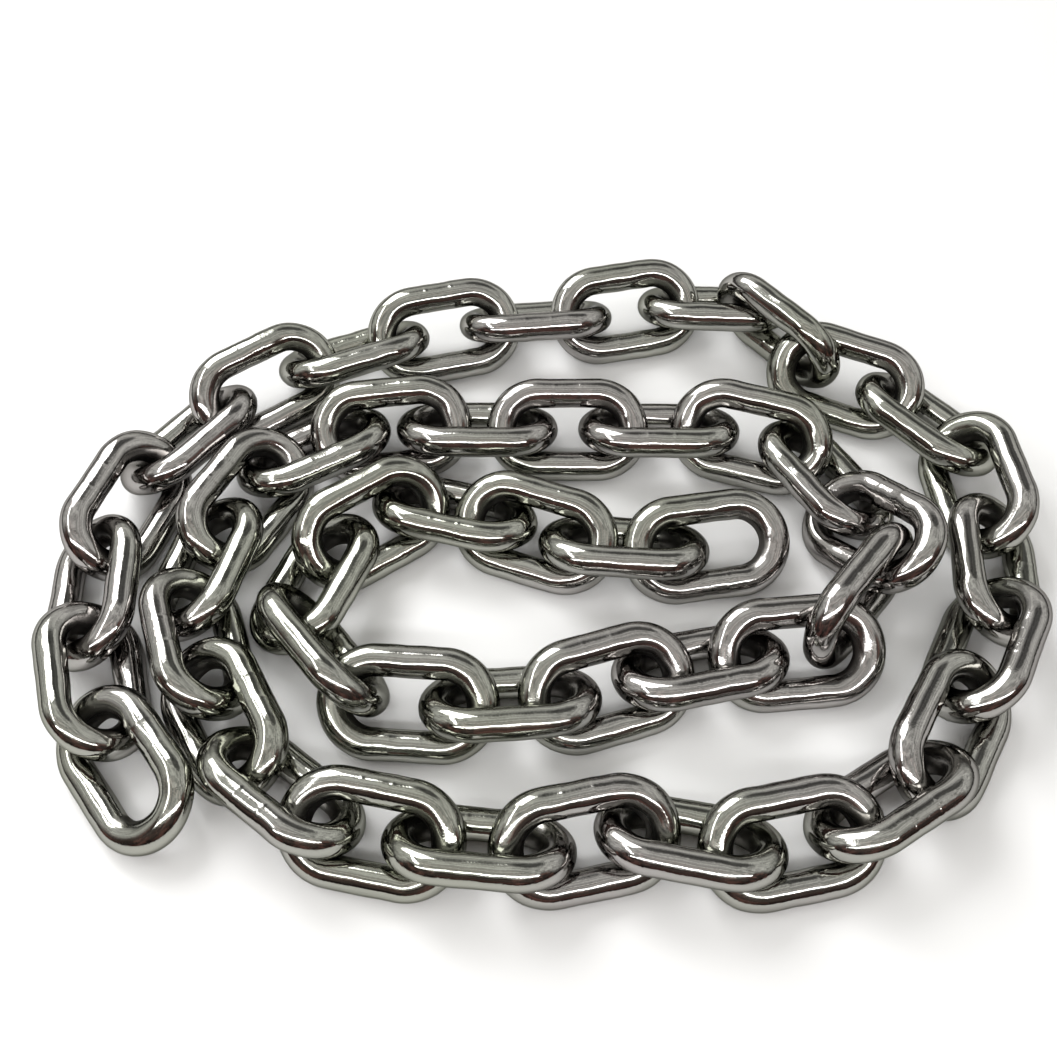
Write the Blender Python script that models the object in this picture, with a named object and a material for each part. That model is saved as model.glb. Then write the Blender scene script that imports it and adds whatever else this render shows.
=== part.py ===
"""Heap of anchor chain: one length of polished round-bar chain laid down in a loose flat spiral.

Fifty like links of 10 mm bar, each a separate welded ring that passes through the eye of the next.
Units are metres, +Z is up, the chain lies on Z = 0 and its box is centred on the origin.
"""

import math

import bpy
import numpy as np
from mathutils import Euler, Matrix, Vector

MM = 0.001

# The link
BAR = 10 * MM
EYE_LENGTH = 35 * MM
EYE_WIDTH = 15 * MM
CLEARANCE = 0.2 * MM

# The facets of a link: bar sides, and straight pieces round each crown
BEVEL_RESOLUTION = 3
BAR_SIDES = 4 + 2 * BEVEL_RESOLUTION
CROWN_STEPS = 6

CROWN_RADIUS = (EYE_WIDTH + BAR) / 2
LEG = EYE_LENGTH + BAR - 2 * CROWN_RADIUS
BAR_RADIUS = BAR / 2
BAR_CORNER_RADIUS = BAR_RADIUS / math.cos(math.pi / BAR_SIDES)

# The lay: where each link passes through the next on the floor, in millimetres, from the free end
# outside the spiral, clockwise round it two and a third times, to the free end at its middle
CROSSINGS = (
    (-105, -107), (-125, -82), (-134, -48), (-138, -14), (-126, 18), (-104, 44), (-78, 64), (-45, 77),
    (-13, 85), (20, 85), (53, 94), (81, 89), (100, 66), (125, 53), (148, 31), (150, -4), (149, -38), (132, -66),
    (117, -94), (89, -110), (59, -117), (31, -109), (2, -117), (-29, -113), (-59, -108), (-85, -87), (-99, -61),
    (-109, -34), (-101, -5), (-88, 21), (-61, 35), (-34, 37), (-4, 36), (28, 36), (62, 36), (92, 27), (107, 3),
    (115, -25), (94, -50), (66, -53), (37, -59), (10, -68), (-19, -70), (-52, -68), (-75, -40), (-62, -10),
    (-39, 6), (-11, -2), (17, -12), (44, -14), (69, -10),
)
LINK_COUNT = len(CROSSINGS) - 1

# The two links that lie askew in the tight bend on the right: middle in millimetres, heading in degrees
ASKEW = {37: (111, -9, -56), 38: (104, -36, -128)}

# How the links lean, in degrees: one leg on the floor and the other raised, left and right by turns.
# A leg raised on the left of the chain's run counts as positive, and past 90 the link has tipped over.
LEAN = 28
OTHER_LEANS = {12: 103, 37: 33, 38: -80, 44: 60}
SAME_WAY_AGAIN = (13, 39)
# The one link whose front end lies up on the next link, in degrees
PITCHES = {37: 21}
# How far a leaning link stands off the run, towards its raised leg
SIDE_STEP = 1.5 * MM

# The settling of the links against each other
SAMPLE_STEP = 1.2 * MM
SETTLE_SWEEPS = 80
NEIGHBOUR_GAP = 2 * BAR_CORNER_RADIUS + CLEARANCE
TURN_GAP = NEIGHBOUR_GAP + 1 * MM
REACH = EYE_LENGTH + 2 * BAR + TURN_GAP
NUDGE = 1e-4
# The lengths over which a push turns a link rather than shifts it: in heading, lean and pitch
HEADING_ARM = 40 * MM
LEAN_ARM = 28 * MM
PITCH_ARM = 25 * MM
FREEDOM = np.array((1, 1, 1 / HEADING_ARM, 1 / LEAN_ARM, 0))
PITCHED_FREEDOM = np.array((1, 1, 1 / HEADING_ARM, 1 / LEAN_ARM, 1 / PITCH_ARM))

STEEL_COLOUR = (0.62, 0.62, 0.61, 1.0)
STEEL_ROUGHNESS = 0.08


def clear_scene():
    """Remove every object of the start-up scene."""
    for item in list(bpy.data.objects):
        bpy.data.objects.remove(item, do_unlink=True)


def ring():
    """Centre line of a link in its own plane, X along the link: two straight legs between two half-round crowns."""
    turn = np.linspace(-math.pi / 2, math.pi / 2, CROWN_STEPS + 1)
    crown = np.column_stack((LEG / 2 + CROWN_RADIUS * np.cos(turn), CROWN_RADIUS * np.sin(turn), 0 * turn))
    return np.vstack((crown, -crown * (1, 1, 0)))


def samples_along(points):
    """Close samples along a closed run of straight pieces."""
    samples = []
    for start, end in zip(points, np.roll(points, -1, axis=0)):
        steps = math.ceil(np.linalg.norm(end - start) / SAMPLE_STEP)
        samples.append(start + (end - start) * np.arange(steps)[:, None] / steps)
    return np.vstack(samples)


RING_SAMPLES = samples_along(ring())


def rotation(lay):
    """Turn of a link: leaned about its own long axis, pitched, then headed along the chain."""
    _, _, heading, lean, pitch = lay
    return np.array(Euler((lean, -pitch, heading), "XYZ").to_matrix())


def height(lay):
    """Height of a link's middle: a level link rests on a flat of its lower leg, a pitched one on a corner."""
    lowest = (RING_SAMPLES @ rotation(lay).T)[:, 2].min()
    return (BAR_CORNER_RADIUS if lay[4] else BAR_RADIUS) - lowest


def posed(lay, samples=RING_SAMPLES):
    """Centre line of a link where it lies on the floor."""
    points = samples @ rotation(lay).T
    points[:, 2] += height(lay)
    points[:, :2] += lay[:2]
    return points


def leans():
    """Lean of each link, in degrees."""
    side = 1
    result = []
    for number in range(1, LINK_COUNT + 1):
        if number not in SAME_WAY_AGAIN:
            side = -side
        result.append(OTHER_LEANS.get(number, side * LEAN))
    return result


def first_lays():
    """Lay of each link before it settles: x, y, heading, lean and pitch."""
    places = np.array(CROSSINGS) * MM
    lays = []
    for number, (back, front, lean) in enumerate(zip(places[:-1], places[1:], leans()), start=1):
        run = front - back
        middle = (back + front) / 2
        heading = math.atan2(run[1], run[0])
        if number in ASKEW:
            middle = np.array(ASKEW[number][:2]) * MM
            heading = math.radians(ASKEW[number][2])
        else:
            left = np.array((-math.sin(heading), math.cos(heading)))
            middle = middle + left * math.copysign(SIDE_STEP, lean)
        pitch = PITCHES.get(number, 0)
        lays.append((middle[0], middle[1], heading, math.radians(lean), math.radians(pitch)))
    return np.array(lays)


def freedom(index):
    """How readily each value of a link's lay changes as it settles; only a pitched link may pitch further."""
    return PITCHED_FREEDOM if index + 1 in PITCHES else FREEDOM


def slopes(lay, sample, direction):
    """How fast one sample of a link moves along a direction as each value of its lay grows."""
    here = posed(lay)[sample]
    result = np.zeros(len(lay))
    for value in range(len(lay)):
        moved = lay.copy()
        moved[value] += NUDGE
        result[value] = (posed(moved)[sample] - here) @ direction / NUDGE
    return result


def press(lays, first, second, gap, may_pull):
    """Move two links the least that brings their centre lines to a gap."""
    one, other = posed(lays[first]), posed(lays[second])
    apart = other[None, :, :] - one[:, None, :]
    distances = np.sqrt((apart ** 2).sum(axis=2))
    at_one, at_other = np.unravel_index(distances.argmin(), distances.shape)
    distance = distances[at_one, at_other]
    missing = gap - distance
    if missing < 0 and not may_pull:
        return
    direction = apart[at_one, at_other] / distance
    slope_one = -slopes(lays[first], at_one, direction)
    slope_other = slopes(lays[second], at_other, direction)
    give_one, give_other = freedom(first) ** 2 * slope_one, freedom(second) ** 2 * slope_other
    share = missing / (slope_one @ give_one + slope_other @ give_other)
    lays[first] += share * give_one
    lays[second] += share * give_other


def settle(lays):
    """Let every link come to rest against the next, and keep the spiral's turns clear of each other."""
    for _ in range(SETTLE_SWEEPS):
        for index in range(LINK_COUNT - 1):
            press(lays, index, index + 1, NEIGHBOUR_GAP, may_pull=True)
        for index in range(LINK_COUNT):
            for other in range(index + 2, LINK_COUNT):
                if np.hypot(*(lays[other, :2] - lays[index, :2])) < REACH:
                    press(lays, index, other, TURN_GAP, may_pull=False)
    return lays


def centred(lays):
    """The lays moved so that the chain's box stands round the origin."""
    points = np.vstack([posed(lay) for lay in lays])
    middle = (points.min(axis=0) + points.max(axis=0)) / 2
    lays[:, :2] -= middle[:2]
    return lays


def steel():
    """Mirror-polished stainless steel."""
    material = bpy.data.materials.new("polished_stainless_steel")
    material.use_nodes = True
    shader = material.node_tree.nodes["Principled BSDF"]
    shader.inputs["Base Color"].default_value = STEEL_COLOUR
    shader.inputs["Metallic"].default_value = 1.0
    shader.inputs["Roughness"].default_value = STEEL_ROUGHNESS
    return material


def link_curve(name, roll, material):
    """One link as a closed bar, its section rolled so that a flat of the lower leg faces the floor."""
    curve = bpy.data.curves.new(name, "CURVE")
    curve.dimensions = "3D"
    curve.twist_mode = "Z_UP"
    curve.bevel_depth = BAR_CORNER_RADIUS
    curve.bevel_resolution = BEVEL_RESOLUTION
    spline = curve.splines.new("POLY")
    points = ring()
    spline.points.add(len(points) - 1)
    for point, place in zip(spline.points, points):
        point.co = (*place, 1.0)
        point.tilt = roll
    spline.use_cyclic_u = True
    curve.materials.append(material)
    return curve


def add_link(number, lay, parent, collection, material):
    """Place one link of the chain as it lies."""
    name = f"link_{number:02d}"
    link = bpy.data.objects.new(name, link_curve(name, -abs(lay[3]), material))
    place = Vector((lay[0], lay[1], height(lay)))
    link.matrix_world = Matrix.Translation(place) @ Matrix(rotation(lay)).to_4x4()
    link.parent = parent
    collection.objects.link(link)
    return link


def build():
    """Model the whole heap."""
    clear_scene()
    collection = bpy.data.collections.new("heap_of_anchor_chain")
    bpy.context.scene.collection.children.link(collection)
    heap = bpy.data.objects.new("anchor_chain", None)
    collection.objects.link(heap)
    material = steel()
    lays = centred(settle(first_lays()))
    for number, lay in enumerate(lays, start=1):
        add_link(number, lay, heap, collection, material)


build()
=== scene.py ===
"""Heap of anchor chain: fifty mirror-polished links of 10 mm round bar in a loose flat spiral on a floor.

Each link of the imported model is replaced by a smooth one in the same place: a round bar carried round a ring
of two straight legs and two half-round crowns, with the ground-down weld in one leg and the faint unevenness
that a bent and tumbled bar keeps under its polish. Units are metres and +Z is up.
"""

from __future__ import annotations

import logging
import math
from dataclasses import dataclass, field
from enum import Enum
from typing import Any

import bpy
import numpy as np
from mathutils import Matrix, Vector

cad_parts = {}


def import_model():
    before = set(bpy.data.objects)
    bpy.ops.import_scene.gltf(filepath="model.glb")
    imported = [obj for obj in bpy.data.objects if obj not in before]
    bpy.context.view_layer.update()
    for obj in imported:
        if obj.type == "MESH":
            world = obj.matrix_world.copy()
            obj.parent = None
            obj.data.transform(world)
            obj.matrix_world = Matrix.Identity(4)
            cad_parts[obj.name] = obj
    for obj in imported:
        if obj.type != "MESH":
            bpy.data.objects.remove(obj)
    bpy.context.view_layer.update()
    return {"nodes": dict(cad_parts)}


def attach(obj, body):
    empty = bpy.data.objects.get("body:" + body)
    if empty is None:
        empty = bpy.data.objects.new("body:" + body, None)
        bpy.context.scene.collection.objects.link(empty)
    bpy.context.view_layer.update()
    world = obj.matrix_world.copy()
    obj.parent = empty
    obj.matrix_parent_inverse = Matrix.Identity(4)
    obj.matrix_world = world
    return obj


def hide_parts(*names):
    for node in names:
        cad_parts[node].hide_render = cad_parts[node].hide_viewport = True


LOG = logging.getLogger("anchor_chain")
MM = 0.001
# Attribute of every link that follows its bar: round the bar, and drawn out along it
BAR_RUN = "bar_run"
# Attribute of every link: 1 inside its crowns, where no polishing reaches, and 0 elsewhere; there the steel is
# rougher and its colour is darkened as painted shade
INNER_CROWN = "inner_crown"
# Places of the colour sockets of a Mix node
MIX_A, MIX_B, MIX_RESULT = 6, 7, 2


def linear(hex_colour: str) -> tuple[float, float, float, float]:
    """Turn an sRGB hex colour into a linear one.

    Args:
        hex_colour: Six hex digits after a hash sign.

    Returns:
        Red, green, blue and an alpha of one.
    """
    values = np.array([int(hex_colour[i:i + 2], 16) for i in (1, 3, 5)]) / 255
    low = values / 12.92
    high = ((values + 0.055) / 1.055) ** 2.4
    red, green, blue = np.where(values <= 0.04045, low, high)
    return float(red), float(green), float(blue), 1.0


def add_node(tree: bpy.types.NodeTree, kind: str, settings: dict[str, Any] | None = None,
             inputs: dict[str | int, Any] | None = None) -> bpy.types.Node:
    """Add a node with its settings, its values and its links.

    Args:
        tree: The node tree that takes it.
        kind: Blender's name for the kind of node.
        settings: Properties of the node.
        inputs: For each input socket, a plain value, or the output socket that feeds it.

    Returns:
        The new node.
    """
    node = tree.nodes.new(kind)
    for name, value in (settings or {}).items():
        setattr(node, name, value)
    for socket, value in (inputs or {}).items():
        if isinstance(value, bpy.types.NodeSocket):
            tree.links.new(value, node.inputs[socket])
        else:
            node.inputs[socket].default_value = value
    return node


def set_ramp(node: bpy.types.Node, stops: tuple[tuple[float, str], ...]) -> None:
    """Give a colour ramp its stops.

    Args:
        node: The ramp node.
        stops: Positions from 0 to 1, each with its sRGB hex colour.
    """
    ramp = node.color_ramp
    while len(ramp.elements) > 1:
        ramp.elements.remove(ramp.elements[-1])
    ramp.elements[0].position = stops[0][0]
    ramp.elements[0].color = linear(stops[0][1])
    for position, colour in stops[1:]:
        ramp.elements.new(position).color = linear(colour)


class WeldLeg(Enum):
    """Which leg of a link carries the weld."""

    UPPER = 1
    LOWER = -1


@dataclass(frozen=True)
class PolishedSteel:
    """Austenitic stainless steel bar, bent, welded, tumbled and electropolished.

    The eye sees a near-perfect mirror that breaks up slightly: drawing lines run along the bar, fine tumbling
    marks blur it in patches, a shallow orange peel frays the edges of each highlight, and the oxide gives it
    a faint olive or rose cast in places. Inside the crowns, where no polishing reaches, it is dull, and its
    colour is darkened there as painted shade where the links lie in each other's shade.
    """

    name: str = "electropolished_stainless_steel"
    plain: str = "#a3a39d"
    olive: str = "#a0a198"
    rosy: str = "#a5a2a0"
    edge_tint: str = "#90908e"
    # Painted shade: the dark colour mixed in inside the crowns, and how much of it, where the links shade each
    # other
    crown_shade_colour: str = "#4b4845"
    crown_shade_share: float = 0.85
    unpolished_roughness: float = 0.3
    roughness_low: float = 0.06
    roughness_high: float = 0.15
    cast_size: float = 60 * MM
    cast_spread: float = 0.12
    patch_size: float = 7 * MM
    patch_range: tuple[float, float] = (0.4, 0.75)
    # Drawing lines: real ones are a few hundredths of a millimetre apart, so they are drawn 0.9 mm apart
    line_size: float = 0.9 * MM
    line_height: float = 0.010 * MM
    # Orange peel: real grit marks are finer than the render can show, so they are drawn 0.7 mm apart
    peel_size: float = 0.7 * MM
    peel_height: float = 0.020 * MM

    def make(self) -> bpy.types.Material:
        """Build the node material.

        Returns:
            The material, patterned in Object coordinates and along the bar.
        """
        material = bpy.data.materials.new(self.name)
        material.use_nodes = True
        tree = material.node_tree
        shader = tree.nodes["Principled BSDF"]
        place = add_node(tree, "ShaderNodeTexCoord").outputs["Object"]
        run = add_node(tree, "ShaderNodeAttribute", {"attribute_name": BAR_RUN}).outputs["Vector"]
        cast = add_node(tree, "ShaderNodeTexNoise", inputs={
            "Vector": place, "Scale": 1 / self.cast_size, "Detail": 1.0, "Roughness": 0.4})
        colour = add_node(tree, "ShaderNodeValToRGB", inputs={"Fac": cast.outputs["Fac"]})
        set_ramp(colour, (
            (0.5 - self.cast_spread, self.olive), (0.5, self.plain), (0.5 + self.cast_spread, self.rosy)))
        inner = add_node(tree, "ShaderNodeAttribute", {"attribute_name": INNER_CROWN}).outputs["Fac"]
        share = add_node(tree, "ShaderNodeMath", {"operation": "MULTIPLY"}, {
            0: inner, 1: self.crown_shade_share})
        # Painted shade: the colour darkens inside the crowns
        shaded_colour = add_node(tree, "ShaderNodeMix", {"data_type": "RGBA"}, {
            0: share.outputs["Value"], MIX_A: colour.outputs["Color"], MIX_B: linear(self.crown_shade_colour)})
        patches = add_node(tree, "ShaderNodeTexNoise", inputs={
            "Vector": place, "Scale": 1 / self.patch_size, "Detail": 3.0, "Roughness": 0.6})
        rough = add_node(tree, "ShaderNodeMapRange", inputs={
            "Value": patches.outputs["Fac"],
            "From Min": self.patch_range[0], "From Max": self.patch_range[1],
            "To Min": self.roughness_low, "To Max": self.roughness_high})
        dull = add_node(tree, "ShaderNodeMath", {"operation": "MULTIPLY_ADD"}, {
            0: inner, 1: self.unpolished_roughness, 2: rough.outputs["Result"]})
        lines = add_node(tree, "ShaderNodeTexNoise", inputs={
            "Vector": run, "Scale": 1 / self.line_size, "Detail": 2.0, "Roughness": 0.5})
        drawn = add_node(tree, "ShaderNodeBump", inputs={
            "Height": lines.outputs["Fac"], "Distance": self.line_height, "Strength": 1.0})
        peel = add_node(tree, "ShaderNodeTexNoise", inputs={
            "Vector": place, "Scale": 1 / self.peel_size, "Detail": 1.0, "Roughness": 0.5})
        bump = add_node(tree, "ShaderNodeBump", inputs={
            "Height": peel.outputs["Fac"], "Distance": self.peel_height, "Strength": 1.0,
            "Normal": drawn.outputs["Normal"]})
        tree.links.new(shaded_colour.outputs[MIX_RESULT], shader.inputs["Base Color"])
        tree.links.new(dull.outputs["Value"], shader.inputs["Roughness"])
        tree.links.new(bump.outputs["Normal"], shader.inputs["Normal"])
        shader.inputs["Metallic"].default_value = 1.0
        shader.inputs["Specular Tint"].default_value = linear(self.edge_tint)
        return material


@dataclass(frozen=True)
class Floor:
    """Matt white lacquered table top: an even pale grey-white that takes soft shadows."""

    name: str = "white_lacquer"
    colour: str = "#ececec"
    roughness: float = 0.55
    half_width: float = 6.0

    def make(self) -> bpy.types.Object:
        """Lay the floor as a single face.

        Returns:
            The floor.
        """
        w = self.half_width
        mesh = bpy.data.meshes.new("floor")
        mesh.from_pydata([(-w, -w, 0), (w, -w, 0), (w, w, 0), (-w, w, 0)], [], [(0, 1, 2, 3)])
        material = bpy.data.materials.new(self.name)
        material.use_nodes = True
        shader = material.node_tree.nodes["Principled BSDF"]
        shader.inputs["Base Color"].default_value = linear(self.colour)
        shader.inputs["Roughness"].default_value = self.roughness
        mesh.materials.append(material)
        floor = bpy.data.objects.new("floor", mesh)
        bpy.context.scene.collection.objects.link(floor)
        return floor


@dataclass(frozen=True)
class Pose:
    """Where a link lies: its middle, and its own three directions."""

    middle: np.ndarray
    along: np.ndarray
    across: np.ndarray
    normal: np.ndarray

    @classmethod
    def of_solid(cls, solid: bpy.types.Object) -> Pose:
        """Find a link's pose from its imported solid.

        The ring is widest along itself and thinnest along its normal, so the directions in which its corners
        spread most, second most and least are its own.

        Args:
            solid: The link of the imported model.

        Returns:
            The pose, with the normal upward and the raised leg on the side of `across`.
        """
        corners = np.empty(len(solid.data.vertices) * 3)
        solid.data.vertices.foreach_get("co", corners)
        corners = np.unique(corners.reshape(-1, 3).round(7), axis=0)
        middle = (corners.min(axis=0) + corners.max(axis=0)) / 2
        _, _, directions = np.linalg.svd(corners - corners.mean(axis=0), full_matrices=False)
        along, across = directions[0], directions[1]
        if across[2] < 0:
            across = -across
        normal = np.cross(along, across)
        if normal[2] < 0:
            along, normal = -along, -normal
        return cls(middle, along, across, normal)


@dataclass
class LinkShape:
    """Sizes of one link and the surface that they give."""

    bar: float = 10 * MM
    eye_length: float = 35 * MM
    eye_width: float = 15 * MM
    sides: int = 48
    crown_rings: int = 48
    leg_rings: int = 24
    weld_leg_rings: int = 64
    # The weld is ground flush: two crosswise ridges are left where the clamps and the wheel stopped
    weld_ridge_apart: float = 9 * MM
    weld_ridge_width: float = 0.55 * MM
    weld_ridge_height: float = 0.035 * MM
    weld_ridge_unevenness: float = 0.5
    weld_dip: float = 0.06 * MM
    # The bar keeps an unevenness under its polish: how steep it is, and its waves along and round the bar
    wave_slope: float = 0.027
    wave_count: int = 28
    most_cycles: int = 16
    most_lobes: int = 5
    # How far the drawing lines are drawn out along the bar
    line_stretch: float = 0.03

    @property
    def bar_radius(self) -> float:
        """Radius of the bar."""
        return self.bar / 2

    @property
    def crown_radius(self) -> float:
        """Radius of a crown's centre line."""
        return (self.eye_width + self.bar) / 2

    @property
    def leg(self) -> float:
        """Length of a straight leg."""
        return self.eye_length + self.bar - 2 * self.crown_radius

    @property
    def whole(self) -> float:
        """Length of the centre line once round the ring."""
        return 2 * (self.leg + math.pi * self.crown_radius)

    def path_lengths(self) -> np.ndarray:
        """Places of the rings along the bar, closer together in the leg that is welded.

        Returns:
            Lengths from the start of the welded leg, rising, for one round of the ring.
        """
        turn = math.pi * self.crown_radius
        stretches = ((self.leg, self.weld_leg_rings), (turn, self.crown_rings),
                     (self.leg, self.leg_rings), (turn, self.crown_rings))
        starts = np.cumsum([0.0] + [length for length, _ in stretches[:-1]])
        return np.concatenate([
            start + np.arange(rings) * length / rings for start, (length, rings) in zip(starts, stretches)])

    def path(self, lengths: np.ndarray) -> tuple[np.ndarray, np.ndarray]:
        """Centre line of the ring in its own plane.

        The welded leg runs at +Y from +X to -X, then comes a half turn, the other leg back, and a half turn.

        Args:
            lengths: Places along the bar.

        Returns:
            The points, and the outward direction at each.
        """
        turn = math.pi * self.crown_radius
        edges = np.cumsum([self.leg, turn, self.leg])
        part = np.searchsorted(edges, lengths, side="right")
        local = lengths - np.concatenate(([0.0], edges))[part]
        angle = np.choose(part, (
            np.full_like(local, math.pi / 2), math.pi / 2 + local / self.crown_radius,
            np.full_like(local, -math.pi / 2), -math.pi / 2 + local / self.crown_radius))
        shift = np.choose(part, (
            self.leg / 2 - local, np.full_like(local, -self.leg / 2),
            local - self.leg / 2, np.full_like(local, self.leg / 2)))
        outward = np.column_stack((np.cos(angle), np.sin(angle), np.zeros_like(angle)))
        points = outward * self.crown_radius
        points[:, 0] += shift
        return points, outward

    def radius(self, lengths: np.ndarray, turns: np.ndarray, rng: np.random.Generator) -> np.ndarray:
        """Radius of the bar over the whole surface.

        It is the bar's radius plus shallow waves of random phase, all equally steep, which close on
        themselves along and round the bar, less a flat dip over the weld, plus two crosswise ridges shaped
        like bell curves.

        Args:
            lengths: Places along the bar.
            turns: Angles round the bar.
            rng: Source of this link's own unevenness.

        Returns:
            A grid of radii, one row for each place.
        """
        along = 2 * math.pi * lengths[:, None] / self.whole
        round_bar = turns[None, :]
        waves = np.zeros((len(lengths), len(turns)))
        for _ in range(self.wave_count):
            cycles, lobes = rng.integers(1, self.most_cycles), rng.integers(0, self.most_lobes)
            phase = rng.uniform(0, 2 * math.pi)
            steepness = math.hypot(2 * math.pi * cycles / self.whole, lobes / self.bar_radius)
            waves += np.sin(cycles * along + rng.choice((-1, 1)) * lobes * round_bar + phase) / steepness
        waves *= self.wave_slope * math.sqrt(2 / self.wave_count)
        from_weld = lengths[:, None] - self.leg / 2
        uneven = 1 + self.weld_ridge_unevenness * np.sin(2 * round_bar + rng.uniform(0, 2 * math.pi))
        ridges = sum(np.exp(-((from_weld - side * self.weld_ridge_apart / 2) / self.weld_ridge_width) ** 2)
                     for side in (-1, 1))
        dip = np.exp(-(from_weld / (0.5 * self.weld_ridge_apart)) ** 4)
        return self.bar_radius + waves + self.weld_ridge_height * ridges * uneven - self.weld_dip * dip

    def inner_crown(self, lengths: np.ndarray, turns: np.ndarray) -> np.ndarray:
        """How far each point lies inside a crown.

        It is the square of how far the surface faces into the eye, where it faces into it at all, times a
        smooth step from the end of the straight leg to a third of the crown's radius beyond it.

        Args:
            lengths: Places along the bar.
            turns: Angles round the bar.

        Returns:
            A grid from 0 to 1, one row for each place.
        """
        centre, _ = self.path(lengths)
        past_leg = (np.abs(centre[:, 0]) - self.leg / 2) / (self.crown_radius / 3)
        step = np.clip(past_leg, 0, 1)
        step = step ** 2 * (3 - 2 * step)
        return step[:, None] * np.clip(-np.cos(turns), 0, 1)[None, :] ** 2

    def surface(self, rng: np.random.Generator) -> tuple[np.ndarray, np.ndarray, np.ndarray, np.ndarray]:
        """Swept surface of the link in its own frame.

        A point is the centre line's point, plus the radius there times the outward direction turned by the
        angle round the bar towards the ring's normal.

        Args:
            rng: Source of this link's own unevenness.

        Returns:
            The points, the four-cornered faces, each point's place on the bar for the drawing lines, and how
            far it lies inside a crown.
        """
        lengths = self.path_lengths()
        turns = np.arange(self.sides) * 2 * math.pi / self.sides
        centre, outward = self.path(lengths)
        upward = np.array((0.0, 0.0, 1.0))
        directions = (np.cos(turns)[None, :, None] * outward[:, None, :]
                      + np.sin(turns)[None, :, None] * upward)
        radii = self.radius(lengths, turns, rng)
        points = centre[:, None, :] + radii[:, :, None] * directions
        run = np.empty_like(points)
        run[:, :, 0] = self.bar_radius * np.cos(turns)
        run[:, :, 1] = self.bar_radius * np.sin(turns)
        run[:, :, 2] = self.line_stretch * ((lengths - self.leg / 2) % self.whole)[:, None]
        run += rng.uniform(0, 1, 3)
        rows, columns = len(lengths), self.sides
        row = np.arange(rows)[:, None]
        column = np.arange(columns)[None, :]
        next_row, next_column = (row + 1) % rows, (column + 1) % columns
        faces = np.stack([
            row * columns + column, row * columns + next_column,
            next_row * columns + next_column, next_row * columns + column], axis=-1)
        inner = self.inner_crown(lengths, turns)
        return points.reshape(-1, 3), faces.reshape(-1, 4), run.reshape(-1, 3), inner.ravel()


@dataclass
class Chain:
    """The fifty links, each smooth and in its place."""

    shape: LinkShape = field(default_factory=LinkShape)
    finish: PolishedSteel = field(default_factory=PolishedSteel)
    seed: int = 7
    upper_weld_share: float = 0.6

    def add_link(self, number: int, solid: bpy.types.Object,
                 material: bpy.types.Material) -> bpy.types.Object:
        """Make one link and let it stand for its solid.

        Args:
            number: The link's number from the outer free end.
            solid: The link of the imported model.
            material: Its finish.

        Returns:
            The new piece.
        """
        pose = Pose.of_solid(solid)
        rng = np.random.default_rng(self.seed + number)
        points, faces, run, inner = self.shape.surface(rng)
        leg = WeldLeg.UPPER if rng.random() < self.upper_weld_share else WeldLeg.LOWER
        axes = np.stack((pose.along * leg.value, pose.across * leg.value, pose.normal))
        points = points @ axes + pose.middle
        mesh = bpy.data.meshes.new(f"polished_{solid.name}")
        mesh.from_pydata(points.tolist(), [], faces.tolist())
        mesh.polygons.foreach_set("use_smooth", np.ones(len(faces), bool))
        mesh.attributes.new(BAR_RUN, "FLOAT_VECTOR", "POINT").data.foreach_set("vector", run.ravel())
        mesh.attributes.new(INNER_CROWN, "FLOAT", "POINT").data.foreach_set("value", inner)
        mesh.materials.append(material)
        mesh.update()
        piece = bpy.data.objects.new(f"polished_{solid.name}", mesh)
        bpy.context.scene.collection.objects.link(piece)
        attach(piece, "root")
        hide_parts(solid.name)
        return piece

    def make(self, solids: dict[str, bpy.types.Object]) -> list[bpy.types.Object]:
        """Make every link.

        Args:
            solids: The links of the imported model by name.

        Returns:
            The new pieces.
        """
        material = self.finish.make()
        pieces = []
        for number, name in enumerate(sorted(solids), start=1):
            pieces.append(self.add_link(number, solids[name], material))
            LOG.info("made %s", pieces[-1].name)
        return pieces


@dataclass(frozen=True)
class Softbox:
    """An even rectangular light that faces the chain."""

    name: str
    place: tuple[float, float, float]
    size: tuple[float, float]
    watts: float

    def hang(self) -> bpy.types.Object:
        """Hang it in its place.

        Returns:
            The light.
        """
        data = bpy.data.lights.new(self.name, "AREA")
        data.shape = "RECTANGLE"
        data.size, data.size_y = self.size
        data.energy = self.watts
        light = bpy.data.objects.new(self.name, data)
        bpy.context.scene.collection.objects.link(light)
        light.location = self.place
        light.rotation_mode = "QUATERNION"
        light.rotation_quaternion = Vector(self.place).to_track_quat("Z", "Y")
        return light


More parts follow.
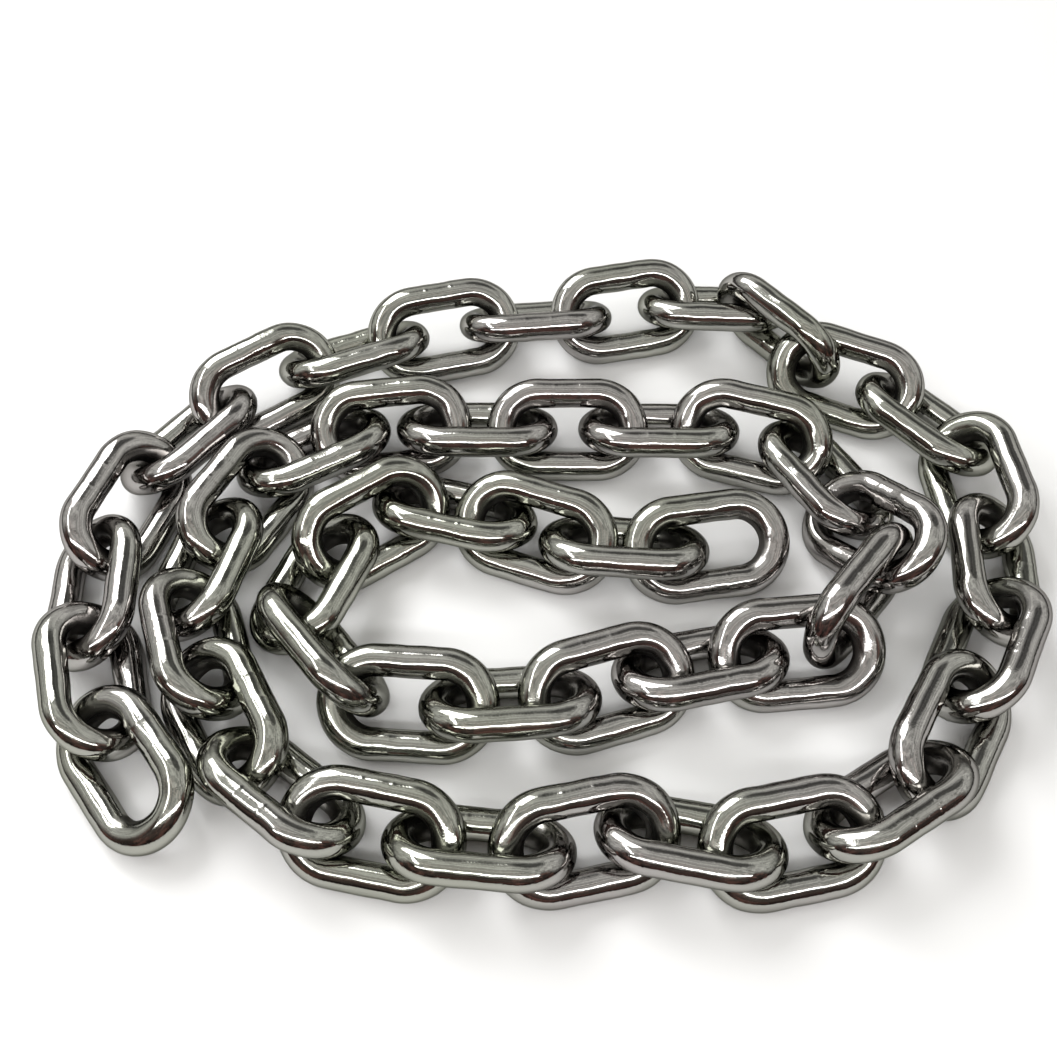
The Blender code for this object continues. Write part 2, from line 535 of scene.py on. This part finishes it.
@dataclass(frozen=True)
class Studio:
    """The light and the camera."""

    # The camera: 48 mm lens, 55 degrees above the floor, a little under half a metre away
    lens: float = 48.06
    sensor: float = 36.0
    elevation: float = 55.09
    distance: float = 471.6 * MM
    aim: tuple[float, float, float] = (-5.85 * MM, 13.9 * MM, 0.0)
    nearest: float = 10 * MM

    softboxes: tuple[Softbox, ...] = (
        Softbox("strip_over_camera", (0.0, -0.6, 0.66), (1.6, 0.10), 4.5),
        Softbox("window_left", (-0.55, 0.74, 0.92), (0.6, 0.9), 11.0),
        Softbox("strip_left", (-0.8, 0.0, 0.98), (0.9, 0.12), 3.0))

    # The room, by the sine of the height over the horizon
    wall_bands: tuple[tuple[float, str], ...] = (
        (0.0, "#2c2b2a"), (0.1, "#4a4846"), (0.2, "#aaaaa6"), (0.5, "#d1d1cd"), (1.0, "#c5c5c1"))
    front_bands: tuple[tuple[float, str], ...] = (
        (0.0, "#191615"), (0.12, "#241f1d"), (0.4, "#4c423e"), (0.6, "#4a423e"), (0.68, "#b2b2ae"),
        (1.0, "#c5c5c1"))
    # Between which values of Y, from the back to the front, the front bands take over
    front_edge: tuple[float, float] = (0.05, -0.3)
    brown_things: tuple[tuple[float, str], ...] = ((0.46, "#000000"), (0.6, "#5c3c37"), (0.72, "#3a2825"))
    brown_scale: float = 4.0
    # What a camera sees over the edge of the floor: as pale as the floor's far end
    backdrop: str = "#c4c2bf"
    # Where the room is dull: the middle of the place, how narrow it is in X, Y and Z, where its edge begins
    # and ends, and its share of the light
    dull_middle: tuple[float, float, float] = (0.28, 0.56, 0.78)
    dull_narrowness: tuple[float, float, float] = (0.85, 1.1, 1.1)
    dull_edge: tuple[float, float] = (0.18, 0.42)
    dull_share: float = 0.18
    # The lengthwise streaks on the walls: how they are drawn out, how fine they are, and how bright
    streak_stretch: tuple[float, float, float] = (1.2, 5.0, 5.0)
    streak_scale: float = 2.3
    streak_range: tuple[float, float] = (0.33, 0.67)
    streak_strength: tuple[float, float] = (0.6, 2.1)

    def camera(self) -> bpy.types.Object:
        """Stand the camera where the photograph was taken.

        Returns:
            The camera.
        """
        data = bpy.data.cameras.new("camera")
        data.lens = self.lens
        data.sensor_width = self.sensor
        data.clip_start = self.nearest
        camera = bpy.data.objects.new("camera", data)
        bpy.context.scene.collection.objects.link(camera)
        tilt = math.radians(self.elevation)
        back = Vector((0.0, -math.cos(tilt), math.sin(tilt)))
        camera.location = Vector(self.aim) + back * self.distance
        camera.rotation_euler = (math.pi / 2 - tilt, 0.0, 0.0)
        bpy.context.scene.camera = camera
        return camera

    def room(self) -> None:
        """Give the world the light and dark fields of a small studio, which the links mirror.

        Its colour depends on the direction alone: a pale ceiling and walls, streaked lengthwise, over a dim
        skirting, a dull corner on the right at the back, and darkness with a few reddish-brown things in it
        low in front. Only the links and the floor get it: the camera itself sees a plain pale backdrop.
        """
        world = bpy.data.worlds.new("studio")
        bpy.context.scene.world = world
        world.use_nodes = True
        tree = world.node_tree
        background = tree.nodes["Background"]
        direction = add_node(tree, "ShaderNodeTexCoord").outputs["Generated"]
        split = add_node(tree, "ShaderNodeSeparateXYZ", inputs={0: direction})
        walls = add_node(tree, "ShaderNodeValToRGB", inputs={"Fac": split.outputs["Z"]})
        set_ramp(walls, self.wall_bands)
        front = add_node(tree, "ShaderNodeValToRGB", inputs={"Fac": split.outputs["Z"]})
        set_ramp(front, self.front_bands)
        things = add_node(tree, "ShaderNodeTexNoise", inputs={
            "Vector": direction, "Scale": self.brown_scale, "Detail": 2.0})
        brown = add_node(tree, "ShaderNodeValToRGB", inputs={"Fac": things.outputs["Fac"]})
        set_ramp(brown, self.brown_things)
        front_low = add_node(tree, "ShaderNodeMix", {"data_type": "RGBA", "blend_type": "ADD"}, {
            0: 1.0, MIX_A: front.outputs["Color"], MIX_B: brown.outputs["Color"]})
        forward = add_node(tree, "ShaderNodeMapRange", {"interpolation_type": "SMOOTHSTEP"}, {
            "Value": split.outputs["Y"], "From Min": self.front_edge[0], "From Max": self.front_edge[1]})
        around = add_node(tree, "ShaderNodeMix", {"data_type": "RGBA"}, {
            0: forward.outputs["Result"], MIX_A: walls.outputs["Color"],
            MIX_B: front_low.outputs[MIX_RESULT]})
        away = add_node(tree, "ShaderNodeVectorMath", {"operation": "SUBTRACT"}, {
            0: direction, 1: self.dull_middle})
        scaled = add_node(tree, "ShaderNodeVectorMath", {"operation": "MULTIPLY"}, {
            0: away.outputs["Vector"], 1: self.dull_narrowness})
        far = add_node(tree, "ShaderNodeVectorMath", {"operation": "LENGTH"}, {0: scaled.outputs["Vector"]})
        dull = add_node(tree, "ShaderNodeMapRange", {"interpolation_type": "SMOOTHSTEP"}, {
            "Value": far.outputs["Value"], "From Min": self.dull_edge[0], "From Max": self.dull_edge[1],
            "To Min": self.dull_share, "To Max": 1.0})
        drawn_out = add_node(tree, "ShaderNodeVectorMath", {"operation": "MULTIPLY"}, {
            0: direction, 1: self.streak_stretch})
        streaks = add_node(tree, "ShaderNodeTexNoise", inputs={
            "Vector": drawn_out.outputs["Vector"], "Scale": self.streak_scale, "Detail": 4.0})
        uneven = add_node(tree, "ShaderNodeMapRange", inputs={
            "Value": streaks.outputs["Fac"],
            "From Min": self.streak_range[0], "From Max": self.streak_range[1],
            "To Min": self.streak_strength[0], "To Max": self.streak_strength[1]})
        strength = add_node(tree, "ShaderNodeMath", {"operation": "MULTIPLY"}, {
            0: dull.outputs["Result"], 1: uneven.outputs["Result"]})
        tree.links.new(around.outputs[MIX_RESULT], background.inputs["Color"])
        tree.links.new(strength.outputs["Value"], background.inputs["Strength"])
        backdrop = add_node(tree, "ShaderNodeBackground", inputs={
            "Color": linear(self.backdrop), "Strength": 1.0})
        seen = add_node(tree, "ShaderNodeLightPath").outputs["Is Camera Ray"]
        shown = add_node(tree, "ShaderNodeMixShader", inputs={
            0: seen, 1: background.outputs["Background"], 2: backdrop.outputs["Background"]})
        tree.links.new(shown.outputs["Shader"], tree.nodes["World Output"].inputs["Surface"])

    def make(self) -> None:
        """Set up the camera, the room and the softboxes."""
        self.camera()
        self.room()
        for softbox in self.softboxes:
            softbox.hang()
        bpy.context.scene.view_settings.view_transform = "Standard"


def main() -> None:
    """Build the chain on its floor in the studio."""
    logging.basicConfig(level=logging.INFO, format="%(name)s: %(message)s")
    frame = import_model()
    Studio().make()
    Floor().make()
    pieces = Chain().make(frame["nodes"])
    LOG.info("%d links", len(pieces))


if __name__ == "__main__":
    main()
